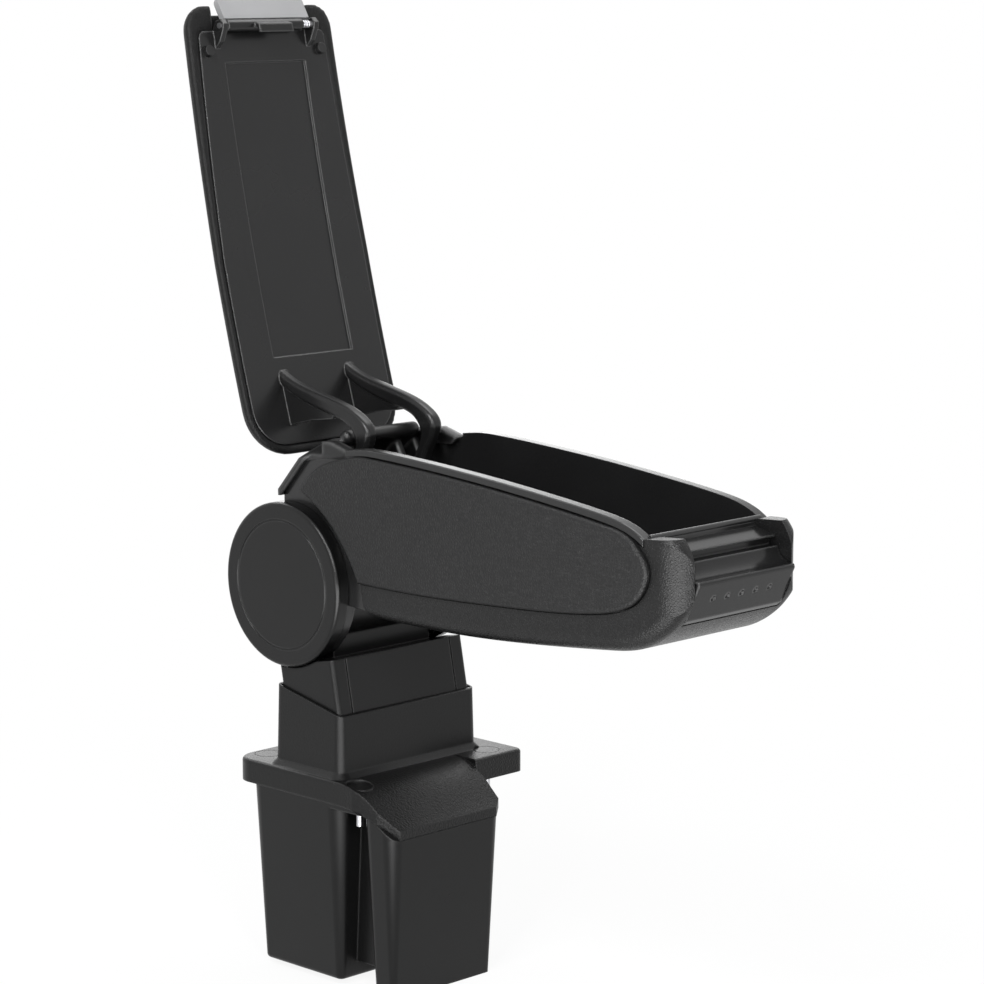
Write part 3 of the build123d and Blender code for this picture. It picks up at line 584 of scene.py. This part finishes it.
# %% Floor
SEEN_BY = ["Is Camera Ray", "Is Glossy Ray", "Is Transmission Ray"]
FLOOR_SIZE = 14
PAPER = (0.86, 0.86, 0.86, 1)
FRONT = (0.7, -0.7, 0)      # from the object towards the camera, along the floor
SIDE = (0.7, 0.7, 0)
WHITE_NEAR = 0.90           # share of even white over the lit paper at the origin
WHITE_GAIN = 0.16           # and what that share gains with each metre
CARD = 7.5                  # brightness of the card in mirrors, where the even white is 1
CARD_START = 0.2            # where the card starts, in metres ahead of the origin
CARD_TAPER = 0.8            # it widens ahead; less than 1 is wider than a right angle
CARD_EDGE = 5.0             # how fast it brightens from its edge, per metre

floor = start(bpy.ops.mesh.primitive_plane_add, size=FLOOR_SIZE, location=(0, 0, 0))
floor.name = "studio_floor"
paper = Paint("studio_paper")
path = {name: paper.node("ShaderNodeLightPath", {}, {}, name) for name in SEEN_BY}
rays = path[SEEN_BY[0]] + path[SEEN_BY[1]] + path[SEEN_BY[2]]
place = paper.node("ShaderNodeTexCoord", {}, {}, "Object")
distance = paper.node("ShaderNodeVectorMath", {"operation": "LENGTH"}, {0: place}, "Value")
growing = WHITE_NEAR + WHITE_GAIN * distance
white = paper.node("ShaderNodeMath", {"operation": "MINIMUM"}, {0: growing, 1: 1.0})
lit = paper.node("ShaderNodeBsdfDiffuse", {}, {"Color": PAPER})
ahead = dot(paper, place, FRONT)
aside = paper.node("ShaderNodeMath", {"operation": "ABSOLUTE"}, {0: dot(paper, place, SIDE)})
card = paper.node("ShaderNodeClamp", {}, {"Value": CARD_EDGE * (ahead - CARD_TAPER * aside - CARD_START)})
shine = (1 + (CARD - 1) * card * path["Is Glossy Ray"]) / CARD
glow = paper.node("ShaderNodeEmission", {}, {"Color": shine, "Strength": CARD})
sheet = paper.node("ShaderNodeMixShader", {}, {0: rays * white, 1: lit, 2: glow})
floor.data.materials.append(paper.finish(sheet))
print("floor ready:", floor.name)

# %% [markdown]
# The world is seen as plain white too, but as a lamp it gives only a weak, slightly cool fill, so that
# the shadows stay soft and dark.

# %% World
FILL = (0.96, 0.98, 1.0, 1)
FILL_STRENGTH = 0.28

world = bpy.data.worlds.new("studio")
bpy.context.scene.world = world
world.use_nodes = True
sky = Paint.on_tree(world.node_tree)
looks = [sky.node("ShaderNodeLightPath", {}, {}, name) for name in SEEN_BY]
seen = sky.node("ShaderNodeBackground", {}, {"Color": (1, 1, 1, 1), "Strength": 1.0})
fill = sky.node("ShaderNodeBackground", {}, {"Color": FILL, "Strength": FILL_STRENGTH})
both = sky.node("ShaderNodeMixShader", {}, {0: looks[0] + looks[1] + looks[2], 1: fill, 2: seen})
sky.end(both, "ShaderNodeOutputWorld")
print("world ready:", world.name)

# %% [markdown]
# Soft boxes. The wide one hangs overhead, to the left of the arm, where the drooping lip of the flange
# mirrors it. One hangs behind, and a low one behind to the left skims the rim. The small key hangs high
# on the near side, for the upper edges. Two tall strips, above the camera to its left and right, are the
# main front light.

# %% Soft boxes
AIM = Vector((0.08, 0, 0.28))


def soft_box(name, place, width, height, power):
    """Rectangular lamp, in metres and watts, that faces the middle of the object."""
    lamp = bpy.data.lights.new(name, "AREA")
    lamp.shape = "RECTANGLE"
    lamp.size = width
    lamp.size_y = height
    lamp.energy = power
    holder = bpy.data.objects.new(name, lamp)
    holder.location = place
    holder.rotation_euler = (AIM - Vector(place)).to_track_quat("-Z", "Y").to_euler()
    bpy.context.collection.objects.link(holder)


soft_box("overhead", (0.0, 0.8, 1.9), width=1.0, height=1.0, power=12)
soft_box("rear", (-1.3, 0.1, 1.6), width=0.8, height=0.8, power=8)
soft_box("skim", (-1.25, 1.25, 0.62), width=1.4, height=0.5, power=4.5)
soft_box("key", (0.42, -1.10, 1.60), width=0.35, height=0.35, power=12)
soft_box("strip_left", (0.92, -1.42, 1.25), width=0.20, height=1.1, power=15)
soft_box("strip_right", (1.45, -0.92, 1.25), width=0.20, height=1.1, power=15)
print("soft boxes:", len(bpy.data.lights))

# %% [markdown]
# ## Camera
# The camera stands 1.76 m away to the front right, a little higher than the tip of the open lid, with a
# long lens. Its angles and distance were fitted to the photograph, so that the render can be laid over
# it.

# %% Camera at the photograph's viewing angle
AZIMUTH = 0.7795096         # radians, where 0 looks along +Y
ELEVATION = 0.16351868      # radians above the horizon
DISTANCE = 1.76347          # metres back from the axle
SIDEWAYS = 0.076624         # metres to the right, as the camera sees it
UPWARDS = 0.043677          # metres up, as the camera sees it
FOCAL_PIXELS = 3231.93      # focal length in pixels of the photograph
IMAGE_PIXELS = 984          # width of the photograph
SENSOR = 36                 # width of the sensor in millimetres

right = Vector((math.cos(AZIMUTH), math.sin(AZIMUTH), 0))
level_back = Vector((math.sin(AZIMUTH), -math.cos(AZIMUTH), 0))
back = level_back * math.cos(ELEVATION) + Vector((0, 0, math.sin(ELEVATION)))
up = back.cross(right)
lens = bpy.data.cameras.new("camera")
lens.sensor_width = SENSOR
lens.lens = SENSOR * FOCAL_PIXELS / IMAGE_PIXELS
camera = bpy.data.objects.new("camera", lens)
camera.location = Vector((0, 0, PIVOT_HEIGHT)) + back * DISTANCE + right * SIDEWAYS + up * UPWARDS
camera.rotation_euler = (math.pi / 2 - ELEVATION, 0, AZIMUTH)
bpy.context.collection.objects.link(camera)
bpy.context.scene.camera = camera
bpy.context.scene.view_settings.view_transform = "Standard"
print("camera at", [round(v, 3) for v in camera.location])

# %% [markdown]
